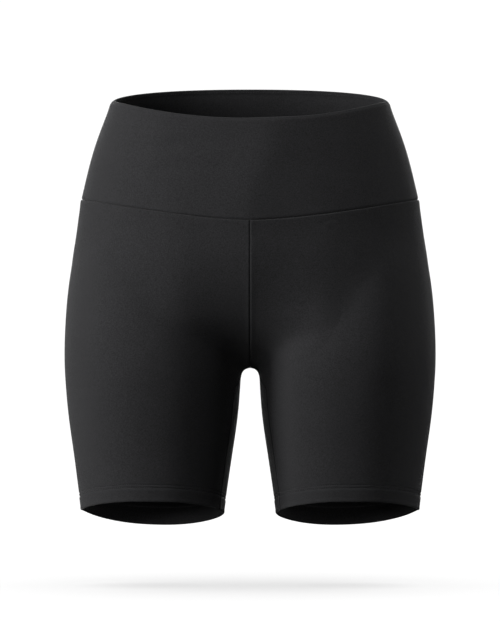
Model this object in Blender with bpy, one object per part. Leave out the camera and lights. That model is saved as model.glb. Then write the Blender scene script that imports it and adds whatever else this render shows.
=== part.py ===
"""High waist shorts in a stretch knit, modelled the way they are cut and sewn.

Metres, +Z up, front towards -Y. The origin is the middle of the waist opening, at the level of its
two sides. The cloth is a thin wall on one smooth form: a rounded hip form and two leg forms, joined
softly at the crotch. Every panel is a grid of points on that form, moved in along the form's own
slope to give the cloth its thickness.
"""

import bpy
import numpy as np

# Levels and sweeps of the cut edges
RIM_FRONT_DROP = 0.0188
RIM_BACK_RISE = 0.0152
RIM_FRONT_SWEEP = 2.0
RIM_BACK_ROUND = 2.2
SEAM_SIDE_LEVEL = -0.0945
SEAM_FRONT_DROP = 0.0212
SEAM_BACK_RISE = 0.0155
SEAM_SWEEP = 1.45
HEM_SIDE_LEVEL = -0.3925
HEM_INNER_DROP = 0.0015
HEM_FRONT_RISE = 0.0113
HEM_BACK_DROP = 0.0161
HEM_SWEEP = 1.45

# The cloth
LEG_WALL = 0.0012
WAISTBAND_WALL = 0.0024
HEM_WALL = 0.0024
HEM_DEPTH = 0.0160
SEAM_GAP = 0.0003
FOLD_ROUND = 0.40

# Grid counts, and the shares of a leg's length and of its hem's depth at which the rings lie
LEG_COLUMNS = 44
LEG_ROWS_TO_CROTCH = 14
LEG_RINGS = (0.018, 0.05, 0.10, 0.18, 0.30, 0.46, 0.63, 0.81, 1.0)
HEM_RINGS = (0.94, 0.47, 0.0)
WAISTBAND_COLUMNS = 28
WAISTBAND_ROWS = 8

# The hip form, one row for each section: height, half width at the side, depth in front, depth behind
HIP_MEASURES = ("height", "half_width", "front", "back")
HIP_SECTIONS = (
    (0.030, 0.1325, 0.083, 0.090),
    (0.000, 0.1332, 0.086, 0.093),
    (-0.020, 0.1398, 0.090, 0.097),
    (-0.045, 0.1488, 0.095, 0.102),
    (-0.075, 0.1568, 0.101, 0.109),
    (-0.100, 0.1622, 0.105, 0.115),
    (-0.140, 0.1676, 0.107, 0.123),
    (-0.175, 0.1722, 0.106, 0.127),
    (-0.215, 0.1720, 0.103, 0.126),
    (-0.260, 0.1650, 0.099, 0.120),
)
HIP_ROUND = 2.35
BOWL_TOP_FRONT = -0.135
BOWL_TOP_BACK = -0.150
BOWL_BOTTOM = -0.2549
BOWL_ROUND = 2.05
BOWL_BLEND = 0.060

# A leg form, one row for each section: height, inner side, outer side, depth in front, depth behind
LEG_MEASURES = ("height", "inner", "outer", "front", "back")
LEG_SECTIONS = (
    (0.030, 0.0640, 0.0960, 0.018, 0.024),
    (-0.050, 0.0430, 0.1320, 0.042, 0.052),
    (-0.100, 0.0280, 0.1560, 0.068, 0.080),
    (-0.140, 0.0170, 0.1672, 0.087, 0.101),
    (-0.180, 0.0110, 0.1740, 0.098, 0.114),
    (-0.215, 0.0092, 0.1769, 0.103, 0.1175),
    (-0.255, 0.0088, 0.1775, 0.103, 0.1115),
    (-0.275, 0.0096, 0.1763, 0.100, 0.106),
    (-0.300, 0.0115, 0.1740, 0.095, 0.0985),
    (-0.335, 0.0164, 0.1692, 0.087, 0.089),
    (-0.370, 0.0216, 0.1646, 0.081, 0.082),
    (-0.415, 0.0278, 0.1588, 0.075, 0.075),
)
LEG_ROUND = 2.2
LEG_AXIS = (0.088, 0.004)

# How softly the forms join: at the crotch, over the front and seat, and at the outer sides
LEGS_JOIN = 0.006
CROTCH_JOIN = 0.011
BODY_JOIN = 0.034
SIDE_JOIN = 0.003
CROTCH_JOIN_TOP = -0.205
CROTCH_JOIN_BOTTOM = -0.245
SIDE_JOIN_INNER = 0.060
SIDE_JOIN_OUTER = 0.140

# How the grids are traced on the form; the sweep is from, to and how many, in degrees from behind
CENTRE_LINE_LEVEL = -0.165
CENTRE_LINE_SWEEP = (150.0, 405.0, 511)
FARTHEST = 0.300
HALVINGS = 26
REPEATS = 9

# Finish: a dull charcoal knit, the doubled waistband a shade deeper
LEG_COLOUR = (0.024, 0.024, 0.025, 1.0)
WAISTBAND_COLOUR = (0.021, 0.021, 0.022, 1.0)
CLOTH_ROUGHNESS = 0.82


def smooth_step(value, low, high):
    """0 below low, 1 above high, and a smooth rise between them."""
    share = np.clip((value - low) / (high - low), 0.0, 1.0)
    return share * share * (3.0 - 2.0 * share)


def spline(heights, values):
    """The natural cubic spline through a column of a table, as a function of height."""
    order = np.argsort(heights)
    x = np.asarray(heights, float)[order]
    y = np.asarray(values, float)[order]
    step = np.diff(x)
    count = len(x)
    system = np.eye(count)
    right = np.zeros(count)
    for i in range(1, count - 1):
        system[i, i - 1 : i + 2] = step[i - 1], 2.0 * (step[i - 1] + step[i]), step[i]
        right[i] = 6.0 * ((y[i + 1] - y[i]) / step[i] - (y[i] - y[i - 1]) / step[i - 1])
    bend = np.linalg.solve(system, right)

    def value(at):
        at = np.clip(at, x[0], x[-1])
        i = np.clip(np.searchsorted(x, at) - 1, 0, count - 2)
        a = (x[i + 1] - at) / step[i]
        b = (at - x[i]) / step[i]
        cubic = ((a**3 - a) * bend[i] + (b**3 - b) * bend[i + 1]) * step[i] ** 2 / 6.0
        return a * y[i] + b * y[i + 1] + cubic

    return value


def sections(names, rows):
    """A dictionary of one smooth function of height for each named column."""
    heights = [row[0] for row in rows]
    return {name: spline(heights, [row[i] for row in rows]) for i, name in enumerate(names) if i}


HIP = sections(HIP_MEASURES, HIP_SECTIONS)
LEG = sections(LEG_MEASURES, LEG_SECTIONS)


def soft_min(a, b, reach):
    """The lesser of a and b, rounded where they lie within reach of each other."""
    near = np.clip(1.0 - np.abs(a - b) / reach, 0.0, 1.0)
    return np.minimum(a, b) - near * near * reach / 4.0


def hip_distance(x, y, z):
    """Roughly how far a point lies outside the hip form, whose lower end is a rounded bowl."""
    wide = np.abs(x) / HIP["half_width"](z)
    depth = np.where(y < 0.0, HIP["front"](z), HIP["back"](z))
    deep = np.abs(y) / depth
    top = BOWL_TOP_FRONT + (BOWL_TOP_BACK - BOWL_TOP_FRONT) * smooth_step(y, -BOWL_BLEND, BOWL_BLEND)
    low = np.maximum(0.0, (top - z) / (top - BOWL_BOTTOM))
    value = wide**HIP_ROUND + deep**HIP_ROUND + low**BOWL_ROUND - 1.0
    slope_x = HIP_ROUND * wide ** (HIP_ROUND - 1.0) / HIP["half_width"](z)
    slope_y = HIP_ROUND * deep ** (HIP_ROUND - 1.0) / depth
    slope_z = BOWL_ROUND * low ** (BOWL_ROUND - 1.0) / (top - BOWL_BOTTOM)
    return value / np.sqrt(slope_x**2 + slope_y**2 + slope_z**2 + 1e-6)


def leg_distance(x, y, z):
    """Roughly how far a point lies outside the leg form on the +X side."""
    inner, outer = LEG["inner"](z), LEG["outer"](z)
    half = (outer - inner) / 2.0
    wide = np.abs(x - (outer + inner) / 2.0) / half
    depth = np.where(y < 0.0, LEG["front"](z), LEG["back"](z))
    deep = np.abs(y) / depth
    value = wide**LEG_ROUND + deep**LEG_ROUND - 1.0
    slope_x = LEG_ROUND * wide ** (LEG_ROUND - 1.0) / half
    slope_y = LEG_ROUND * deep ** (LEG_ROUND - 1.0) / depth
    return value / np.sqrt(slope_x**2 + slope_y**2 + 1e-6)


def form(x, y, z):
    """Below zero inside the form that the shorts fit, above zero outside it."""
    legs = soft_min(leg_distance(x, y, z), leg_distance(-x, y, z), LEGS_JOIN)
    upwards = smooth_step(z, CROTCH_JOIN_BOTTOM, CROTCH_JOIN_TOP)
    outwards = smooth_step(np.abs(x), SIDE_JOIN_INNER, SIDE_JOIN_OUTER)
    reach = CROTCH_JOIN + (BODY_JOIN - CROTCH_JOIN) * upwards
    reach = reach + (SIDE_JOIN - reach) * outwards
    return soft_min(hip_distance(x, y, z), legs, reach)


def outward_slope(points):
    """The unit direction straight out of the form at each point."""
    step = 1e-4
    x, y, z = points[..., 0], points[..., 1], points[..., 2]
    slope = np.stack(
        (
            form(x + step, y, z) - form(x - step, y, z),
            form(x, y + step, z) - form(x, y - step, z),
            form(x, y, z + step) - form(x, y, z - step),
        ),
        axis=-1,
    )
    return slope / np.linalg.norm(slope, axis=-1, keepdims=True)


def reach_form(start, direction):
    """The points where straight lines from inside the form come out of it.

    A line that starts inside a leg ends at the middle of the body at the farthest.
    """
    near = np.zeros(direction.shape[:-1])
    far = np.full(direction.shape[:-1], FARTHEST)
    crosses = (start[..., 0] > SEAM_GAP) & (direction[..., 0] < 0.0)
    to_middle = (SEAM_GAP / 2.0 - start[..., 0]) / np.where(crosses, direction[..., 0], -1.0)
    far = np.where(crosses, np.minimum(far, to_middle), far)
    for _ in range(HALVINGS):
        middle = (near + far) / 2.0
        at = start + direction * middle[..., None]
        outside = form(at[..., 0], at[..., 1], at[..., 2]) > 0.0
        far = np.where(outside, middle, far)
        near = np.where(outside, near, middle)
    return start + direction * far[..., None]


def around(axis, angle, height):
    """Points on the form at the given heights, seen from an upright axis at the given angles."""
    height = np.broadcast_to(height, angle.shape)
    start = np.stack((np.full(angle.shape, axis[0]), np.full(angle.shape, axis[1]), height), axis=-1)
    direction = np.stack((np.cos(angle), np.sin(angle), np.zeros(angle.shape)), axis=-1)
    return reach_form(start, direction)


def settle(axis, angle, level):
    """Points on the form whose height is a function of where they lie, found by repeating."""
    points = around(axis, angle, np.full(angle.shape, SEAM_SIDE_LEVEL))
    for _ in range(REPEATS):
        points = around(axis, angle, level(points))
    return points


SIDE_LEVELS = np.linspace(BOWL_BOTTOM - 0.010, HIP_SECTIONS[0][0], 160)
SIDE_WIDTHS = around((0.0, 0.0), np.zeros(SIDE_LEVELS.shape), SIDE_LEVELS)[:, 0]


def side_share(points):
    """How far across a point lies: 0 at the centre line, 1 at the side of the form."""
    half_width = np.interp(points[..., 2], SIDE_LEVELS, SIDE_WIDTHS)
    return np.clip(np.abs(points[..., 0]) / half_width, 0.0, 1.0)


def rim_level(points):
    """Height of the waist edge."""
    share = side_share(points)
    front = -RIM_FRONT_DROP * (1.0 - share**RIM_FRONT_SWEEP)
    back = RIM_BACK_RISE * (1.0 - share**RIM_BACK_ROUND) ** (1.0 / RIM_BACK_ROUND)
    return np.where(points[..., 1] < 0.0, front, back)


def seam_level(points):
    """Height of the waist seam."""
    rise = 1.0 - side_share(points) ** SEAM_SWEEP
    return SEAM_SIDE_LEVEL + rise * np.where(points[..., 1] < 0.0, -SEAM_FRONT_DROP, SEAM_BACK_RISE)


def hem_level(points):
    """Height of a leg's hem fold, lower behind and a little lower on the inner side."""
    inner, outer = LEG["inner"](HEM_SIDE_LEVEL), LEG["outer"](HEM_SIDE_LEVEL)
    y = points[..., 1]
    depth = np.where(y < 0.0, LEG["front"](HEM_SIDE_LEVEL), LEG["back"](HEM_SIDE_LEVEL))
    swing = np.clip(np.abs(y) / depth, 0.0, 1.0) ** HEM_SWEEP
    inwards = ((inner + outer) / 2.0 - points[..., 0]) / ((outer - inner) / 2.0)
    tilt = swing * np.where(y < 0.0, HEM_FRONT_RISE, -HEM_BACK_DROP)
    return HEM_SIDE_LEVEL - HEM_INNER_DROP * inwards + tilt


def centre_line():
    """Points down the middle of the front, under the crotch and up the middle of the back."""
    angle = np.radians(np.linspace(*CENTRE_LINE_SWEEP))
    middle = np.array((SEAM_GAP / 2.0, LEG_AXIS[1], CENTRE_LINE_LEVEL))
    start = np.broadcast_to(middle, angle.shape + (3,))
    return reach_form(start, np.stack((np.zeros(angle.shape), np.cos(angle), np.sin(angle)), axis=-1))


def spread(line, top, count):
    """Evenly spaced points along a line that runs down, from the height top to its lower end."""
    length = np.concatenate(((0.0,), np.cumsum(np.linalg.norm(np.diff(line, axis=0), axis=1))))
    first = np.interp(-top, -line[:, 2], length)
    at = np.linspace(first, length[-1], count)
    return np.stack([np.interp(at, length, line[:, i]) for i in range(3)], axis=-1)


def leg_rows_above_crotch(front, back):
    """Rows of one leg from the waist seam to the crotch, open along the centre front and back."""
    first = np.arctan2(front[:, 1] - LEG_AXIS[1], front[:, 0] - LEG_AXIS[0])
    last = np.arctan2(back[:, 1] - LEG_AXIS[1], back[:, 0] - LEG_AXIS[0])
    first[-1], last[-1] = -np.pi, np.pi
    across = np.linspace(0.0, 1.0, LEG_COLUMNS)
    angle = first[:, None] + (last - first)[:, None] * across
    side = np.linspace(SEAM_SIDE_LEVEL - SEAM_GAP, front[-1, 2], len(front))[:, None]

    def level(points):
        end = np.where(points[..., 1] < LEG_AXIS[1], front[:, None, 2], back[:, None, 2])
        return end + (side - end) * side_share(points) ** SEAM_SWEEP

    rows = settle(LEG_AXIS, angle, level)
    rows[:, 0], rows[:, -1] = front, back
    return rows


def leg_rings(crotch):
    """Closed rows of one leg from just below the crotch to the hem edge."""
    angle = np.linspace(-np.pi, np.pi, LEG_COLUMNS)
    rows = []
    for leg_share in LEG_RINGS:

        def level(points):
            return crotch + leg_share * (hem_level(points) + HEM_DEPTH - crotch)

        rows.append(settle(LEG_AXIS, angle, level))
    for hem_share in HEM_RINGS:

        def hem_ring(points):
            return hem_level(points) + hem_share * HEM_DEPTH

        rows.append(settle(LEG_AXIS, angle, hem_ring))
    return np.stack(rows)


def waistband_rows(side):
    """Rows of the front (side -1) or back (side +1) waistband, from the waist edge to its seam."""
    angle = np.linspace(0.0, np.pi, WAISTBAND_COLUMNS)
    if side < 0.0:
        angle = angle - np.pi
    axis = (0.0, side * SEAM_GAP / 2.0)
    rows = []
    for share in np.linspace(0.0, 1.0, WAISTBAND_ROWS + 1):

        def level(points):
            top = rim_level(points) - FOLD_ROUND * WAISTBAND_WALL
            return top + share * (seam_level(points) - top)

        rows.append(settle(axis, angle, level))
    return np.stack(rows)


def triangles(points, quad):
    """A four-sided face as two triangles, cut along its shorter diagonal."""
    a, b, c, d = (points[i] for i in quad)
    if np.linalg.norm(a - c) <= np.linalg.norm(b - d):
        return [quad[0], quad[1], quad[2]], [quad[0], quad[2], quad[3]]
    return [quad[0], quad[1], quad[3]], [quad[1], quad[2], quad[3]]


def add_panel(name, rows, walls, joined_from, folds, colour):
    """Build one piece of cloth as a closed wall and add it to the scene.

    rows are its outer points from top to bottom, walls the thickness at each row, joined_from the row
    from which its two side edges are one, and folds the shift of a rounded fold at the top and bottom.
    """
    count, columns = rows.shape[:2]
    inner = rows - outward_slope(rows) * walls[:, None, None]
    last = columns - 1
    points = []
    index = {}
    for face, skin in enumerate((rows, inner)):
        for r in range(count):
            for c in range(columns):
                if r >= joined_from and c == last:
                    index[face, r, c] = index[face, r, 0]
                else:
                    index[face, r, c] = len(points)
                    points.append(skin[r, c])
    faces = []
    for r in range(count - 1):
        for c in range(last):
            corners = ((r, c), (r + 1, c), (r + 1, c + 1), (r, c + 1))
            faces.extend(triangles(points, [index[(0, *corner)] for corner in corners]))
            faces.extend(triangles(points, [index[(1, *corner)] for corner in corners[::-1]]))
        if r < joined_from:
            faces.append([index[0, r, 0], index[1, r, 0], index[1, r + 1, 0], index[0, r + 1, 0]])
            faces.append([index[0, r, last], index[0, r + 1, last], index[1, r + 1, last], index[1, r, last]])
    for r, shift in ((0, folds[0]), (count - 1, folds[1])):
        strip = [[index[0, r, c], index[1, r, c]] for c in range(columns)]
        if shift:
            for c in range(columns):
                if r >= joined_from and c == last:
                    ridge = strip[0][1]
                else:
                    ridge = len(points)
                    points.append((rows[r, c] + inner[r, c]) / 2.0 + np.array((0.0, 0.0, shift)))
                strip[c].insert(1, ridge)
        for c in range(last):
            for i in range(len(strip[c]) - 1):
                face = [strip[c][i], strip[c + 1][i], strip[c + 1][i + 1], strip[c][i + 1]]
                faces.append(face if r == 0 else face[::-1])
        if shift and r < joined_from:
            faces.extend((strip[0], strip[-1][::-1]))
    mesh = bpy.data.meshes.new(name)
    mesh.from_pydata([tuple(map(float, point)) for point in points], [], faces)
    mesh.update()
    mesh.shade_smooth()
    mesh.set_sharp_from_angle(angle=np.radians(50.0))
    cloth = bpy.data.materials.new(name + "_knit")
    cloth.use_nodes = True
    shader = cloth.node_tree.nodes["Principled BSDF"]
    shader.inputs["Base Color"].default_value = colour
    shader.inputs["Roughness"].default_value = CLOTH_ROUGHNESS
    shader.inputs["Metallic"].default_value = 0.0
    mesh.materials.append(cloth)
    panel = bpy.data.objects.new(name, mesh)
    bpy.context.scene.collection.objects.link(panel)
    return panel


def build():
    """Empty the scene and build the four pieces of the shorts."""
    for item in list(bpy.data.objects):
        bpy.data.objects.remove(item, do_unlink=True)

    line = centre_line()
    lowest = int(np.argmin(line[:, 2]))
    count = LEG_ROWS_TO_CROTCH + 1
    front = spread(line[: lowest + 1], SEAM_SIDE_LEVEL - SEAM_FRONT_DROP - SEAM_GAP, count)
    back = spread(line[lowest:][::-1], SEAM_SIDE_LEVEL + SEAM_BACK_RISE - SEAM_GAP, count)
    rows = np.concatenate((leg_rows_above_crotch(front, back), leg_rings(front[-1, 2])))
    walls = np.full(len(rows), LEG_WALL)
    walls[-len(HEM_RINGS) :] = HEM_WALL
    folds = (0.0, -FOLD_ROUND * HEM_WALL)
    add_panel("leg_left", rows, walls, LEG_ROWS_TO_CROTCH, folds, LEG_COLOUR)
    mirrored = rows[:, ::-1] * np.array((-1.0, 1.0, 1.0))
    add_panel("leg_right", mirrored, walls, LEG_ROWS_TO_CROTCH, folds, LEG_COLOUR)

    walls = np.full(WAISTBAND_ROWS + 1, WAISTBAND_WALL)
    folds = (FOLD_ROUND * WAISTBAND_WALL, 0.0)
    for name, side in (("waistband_front", -1.0), ("waistband_back", 1.0)):
        add_panel(name, waistband_rows(side), walls, len(walls), folds, WAISTBAND_COLOUR)


build()
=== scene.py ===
"""High waist shorts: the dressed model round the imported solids.

Metres, +Z up, front towards -Y, origin at the middle of the waist opening. The cloth follows the same
hip and leg form as the solids, with its rolled seams, folded hems, stitches and soft ripples on top.
"""

import logging
import math
from dataclasses import dataclass, field
from enum import Enum
from typing import Callable

import bpy
import numpy as np
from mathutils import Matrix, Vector

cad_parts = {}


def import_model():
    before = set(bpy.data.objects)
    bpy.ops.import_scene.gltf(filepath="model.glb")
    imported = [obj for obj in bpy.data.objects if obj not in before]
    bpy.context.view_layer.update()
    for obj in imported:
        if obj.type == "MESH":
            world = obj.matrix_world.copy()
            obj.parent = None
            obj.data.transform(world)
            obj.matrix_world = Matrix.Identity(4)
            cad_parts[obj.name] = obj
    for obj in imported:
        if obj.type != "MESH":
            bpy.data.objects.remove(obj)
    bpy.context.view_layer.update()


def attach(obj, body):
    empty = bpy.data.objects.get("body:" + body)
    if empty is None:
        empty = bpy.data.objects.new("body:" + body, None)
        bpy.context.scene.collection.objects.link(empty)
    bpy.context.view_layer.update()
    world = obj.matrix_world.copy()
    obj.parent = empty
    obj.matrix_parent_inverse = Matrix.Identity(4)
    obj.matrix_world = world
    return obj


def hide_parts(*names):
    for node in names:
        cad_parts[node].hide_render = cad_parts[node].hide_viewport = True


LOG = logging.getLogger("shorts")
BODY = "root"
CURVE_POINTS = 900
SHARP_ANGLE = math.radians(75.0)
FACING_FADE = (-0.010, 0.030)

Points = np.ndarray
Colour = tuple[float, float, float]


class Side(Enum):
    """The wearer's side a leg is on, as the sign of its X."""

    LEFT = 1.0
    RIGHT = -1.0


class Face(Enum):
    """Front or back of the waistband, as the sign of its Y."""

    FRONT = -1.0
    BACK = 1.0


def smooth_step(value: np.ndarray, low: float, high: float) -> np.ndarray:
    """Return 0 below low, 1 above high and a smooth rise between.

    Args:
        value: Numbers to map.
        low: Where the rise starts.
        high: Where the rise ends.

    Returns:
        Shares from 0 to 1.
    """
    share = np.clip((value - low) / (high - low), 0.0, 1.0)
    return share * share * (3.0 - 2.0 * share)


def bump(distance: np.ndarray, middle: float, width: float) -> np.ndarray:
    """Return a soft bell of height 1 round a middle distance."""
    return np.exp(-(((distance - middle) / width) ** 2))


def spline(heights: list[float], values: list[float]) -> Callable[[np.ndarray], np.ndarray]:
    """Return the natural cubic spline through one column of a table.

    Args:
        heights: Heights of the sections.
        values: The measure at each height.

    Returns:
        A function from height to the measure.
    """
    order = np.argsort(heights)
    x = np.asarray(heights, float)[order]
    y = np.asarray(values, float)[order]
    step = np.diff(x)
    count = len(x)
    system = np.eye(count)
    right = np.zeros(count)
    for i in range(1, count - 1):
        system[i, i - 1 : i + 2] = step[i - 1], 2.0 * (step[i - 1] + step[i]), step[i]
        right[i] = 6.0 * ((y[i + 1] - y[i]) / step[i] - (y[i] - y[i - 1]) / step[i - 1])
    bend = np.linalg.solve(system, right)
    levels = np.linspace(x[0], x[-1], CURVE_POINTS)
    i = np.clip(np.searchsorted(x, levels) - 1, 0, count - 2)
    a = (x[i + 1] - levels) / step[i]
    b = (levels - x[i]) / step[i]
    cubic = ((a**3 - a) * bend[i] + (b**3 - b) * bend[i + 1]) * step[i] ** 2 / 6.0
    fine = a * y[i] + b * y[i + 1] + cubic
    return lambda at: np.interp(at, levels, fine)


@dataclass
class BodyForm:
    """The rounded hips and thighs that the shorts are filled out to.

    Each section row gives a height and the form's reaches there: half width, front and back for the
    hips, and inner side, outer side, front and back for a leg.
    """

    hip_sections: tuple = (
        (0.030, 0.1325, 0.083, 0.090),
        (0.000, 0.1332, 0.086, 0.093),
        (-0.020, 0.1398, 0.090, 0.097),
        (-0.045, 0.1488, 0.095, 0.102),
        (-0.075, 0.1568, 0.101, 0.109),
        (-0.100, 0.1622, 0.105, 0.115),
        (-0.140, 0.1676, 0.107, 0.123),
        (-0.175, 0.1722, 0.106, 0.127),
        (-0.215, 0.1720, 0.103, 0.126),
        (-0.260, 0.1650, 0.099, 0.120),
    )
    leg_sections: tuple = (
        (0.030, 0.0640, 0.0960, 0.018, 0.024),
        (-0.050, 0.0430, 0.1320, 0.042, 0.052),
        (-0.100, 0.0280, 0.1560, 0.068, 0.080),
        (-0.140, 0.0170, 0.1672, 0.087, 0.101),
        (-0.180, 0.0110, 0.1740, 0.098, 0.114),
        (-0.215, 0.0092, 0.1769, 0.103, 0.1175),
        (-0.255, 0.0088, 0.1775, 0.103, 0.1115),
        (-0.275, 0.0096, 0.1763, 0.100, 0.106),
        (-0.300, 0.0115, 0.1740, 0.095, 0.0985),
        (-0.335, 0.0164, 0.1692, 0.087, 0.089),
        (-0.370, 0.0216, 0.1646, 0.081, 0.082),
        (-0.415, 0.0278, 0.1588, 0.075, 0.075),
    )
    hip_round: float = 2.35
    leg_round: float = 2.2
    bowl_tops: tuple[float, float] = (-0.135, -0.150)
    bowl_bottom: float = -0.2549
    bowl_round: float = 2.05
    bowl_blend: float = 0.060
    legs_join: float = 0.006
    crotch_join: float = 0.011
    body_join: float = 0.034
    side_join: float = 0.003
    crotch_levels: tuple[float, float] = (-0.245, -0.205)
    side_reaches: tuple[float, float] = (0.060, 0.140)
    middle_gap: float = 0.0003
    width_levels: tuple[float, float, int] = (-0.2649, 0.030, 160)
    farthest: float = 0.30
    halvings: int = 22
    repeats: int = 7
    first_height: float = -0.1
    slope_step: float = 1e-4
    least_slope: float = 1e-6

    def __post_init__(self) -> None:
        """Turn the section tables into smooth curves of height."""
        self.hip = self._curves(("half", "front", "back"), self.hip_sections)
        self.leg = self._curves(("inner", "outer", "front", "back"), self.leg_sections)
        levels = np.linspace(*self.width_levels)
        widths = self.around((0.0, 0.0), np.zeros(levels.shape), levels)[:, 0]
        self.half_width = lambda z: np.interp(z, levels, widths)

    @staticmethod
    def _curves(names: tuple[str, ...], rows: tuple) -> dict[str, Callable[[np.ndarray], np.ndarray]]:
        """Return one curve of height for each named column of a table."""
        heights = [row[0] for row in rows]
        return {name: spline(heights, [row[i + 1] for row in rows]) for i, name in enumerate(names)}

    @staticmethod
    def _soft_min(a: np.ndarray, b: np.ndarray, reach: np.ndarray | float) -> np.ndarray:
        """Return the lesser of a and b, rounded where they lie within reach of each other."""
        near = np.clip(1.0 - np.abs(a - b) / reach, 0.0, 1.0)
        return np.minimum(a, b) - near * near * reach / 4.0

    def _hips(self, x: np.ndarray, y: np.ndarray, z: np.ndarray) -> np.ndarray:
        """Return roughly how far points lie outside the hips, whose lower end is a bowl.

        Args:
            x: Places across.
            y: Places front to back.
            z: Heights.

        Returns:
            Distances, below zero inside.
        """
        half = self.hip["half"](z)
        depth = np.where(y < 0.0, self.hip["front"](z), self.hip["back"](z))
        wide, deep = np.abs(x) / half, np.abs(y) / depth
        front, back = self.bowl_tops
        top = front + (back - front) * smooth_step(y, -self.bowl_blend, self.bowl_blend)
        low = np.maximum(0.0, (top - z) / (top - self.bowl_bottom))
        wide_slope = wide ** (self.hip_round - 1.0)
        deep_slope = deep ** (self.hip_round - 1.0)
        low_slope = low ** (self.bowl_round - 1.0)
        value = wide * wide_slope + deep * deep_slope + low * low_slope - 1.0
        slope_x = self.hip_round * wide_slope / half
        slope_y = self.hip_round * deep_slope / depth
        slope_z = self.bowl_round * low_slope / (top - self.bowl_bottom)
        return value / np.sqrt(slope_x**2 + slope_y**2 + slope_z**2 + self.least_slope)

    def _thigh(self, x: np.ndarray, y: np.ndarray, z: np.ndarray) -> np.ndarray:
        """Return roughly how far points lie outside the thigh on the +X side.

        Args:
            x: Places across.
            y: Places front to back.
            z: Heights.

        Returns:
            Distances, below zero inside.
        """
        inner, outer = self.leg["inner"](z), self.leg["outer"](z)
        half = (outer - inner) / 2.0
        depth = np.where(y < 0.0, self.leg["front"](z), self.leg["back"](z))
        wide, deep = np.abs(x - (outer + inner) / 2.0) / half, np.abs(y) / depth
        wide_slope = wide ** (self.leg_round - 1.0)
        deep_slope = deep ** (self.leg_round - 1.0)
        value = wide * wide_slope + deep * deep_slope - 1.0
        slope_x = self.leg_round * wide_slope / half
        slope_y = self.leg_round * deep_slope / depth
        return value / np.sqrt(slope_x**2 + slope_y**2 + self.least_slope)

    def distance(self, x: np.ndarray, y: np.ndarray, z: np.ndarray) -> np.ndarray:
        """Return how far points lie outside the form.

        Args:
            x: Places across.
            y: Places front to back.
            z: Heights.

        Returns:
            Distances, below zero inside.
        """
        legs = self._soft_min(self._thigh(x, y, z), self._thigh(-x, y, z), self.legs_join)
        upwards = smooth_step(z, *self.crotch_levels)
        outwards = smooth_step(np.abs(x), *self.side_reaches)
        reach = self.crotch_join + (self.body_join - self.crotch_join) * upwards
        reach = reach + (self.side_join - reach) * outwards
        return self._soft_min(self._hips(x, y, z), legs, reach)

    def slope(self, points: Points) -> Points:
        """Return the unit direction straight out of the form at each point.

        Args:
            points: Points near the form.

        Returns:
            Unit directions.
        """
        sides = []
        for shift in np.eye(3) * self.slope_step:
            ahead, behind = np.moveaxis(points + shift, -1, 0), np.moveaxis(points - shift, -1, 0)
            sides.append(self.distance(*ahead) - self.distance(*behind))
        out = np.stack(sides, axis=-1)
        return out / np.linalg.norm(out, axis=-1, keepdims=True)

    def reach(self, start: Points, direction: Points) -> Points:
        """Return where straight lines from inside the form come out of it.

        Args:
            start: Points inside the form. A line that starts in a leg stops at the middle of the body.
            direction: Unit directions.

        Returns:
            Points on the form.
        """
        near = np.zeros(direction.shape[:-1])
        far = np.full(direction.shape[:-1], self.farthest)
        crosses = (start[..., 0] > self.middle_gap) & (direction[..., 0] < 0.0)
        to_middle = (self.middle_gap / 2.0 - start[..., 0]) / np.where(crosses, direction[..., 0], -1.0)
        far = np.where(crosses, np.minimum(far, to_middle), far)
        for _ in range(self.halvings):
            middle = (near + far) / 2.0
            at = start + direction * middle[..., None]
            outside = self.distance(at[..., 0], at[..., 1], at[..., 2]) > 0.0
            far = np.where(outside, middle, far)
            near = np.where(outside, near, middle)
        return start + direction * far[..., None]

    def around(self, axis: tuple[float, float], angle: np.ndarray, height: np.ndarray) -> Points:
        """Return points on the form at given heights, seen from an upright axis.

        Args:
            axis: The axis, as its X and Y.
            angle: The angles round it at which the points lie.
            height: Their heights.

        Returns:
            Points on the form.
        """
        level = np.broadcast_to(height, angle.shape)
        start = np.stack((np.full(angle.shape, axis[0]), np.full(angle.shape, axis[1]), level), axis=-1)
        ahead = np.stack((np.cos(angle), np.sin(angle), np.zeros(angle.shape)), axis=-1)
        return self.reach(start, ahead)

    def settle(
        self, axis: tuple[float, float], angle: np.ndarray, level: Callable[[Points], np.ndarray]
    ) -> Points:
        """Return points on the form whose height depends on where they lie.

        Args:
            axis: The upright axis they are seen from.
            angle: Their angles round it.
            level: The height for given points.

        Returns:
            Points on the form.
        """
        points = self.around(axis, angle, np.full(angle.shape, self.first_height))
        for _ in range(self.repeats):
            points = self.around(axis, angle, level(points))
        return points


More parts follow.
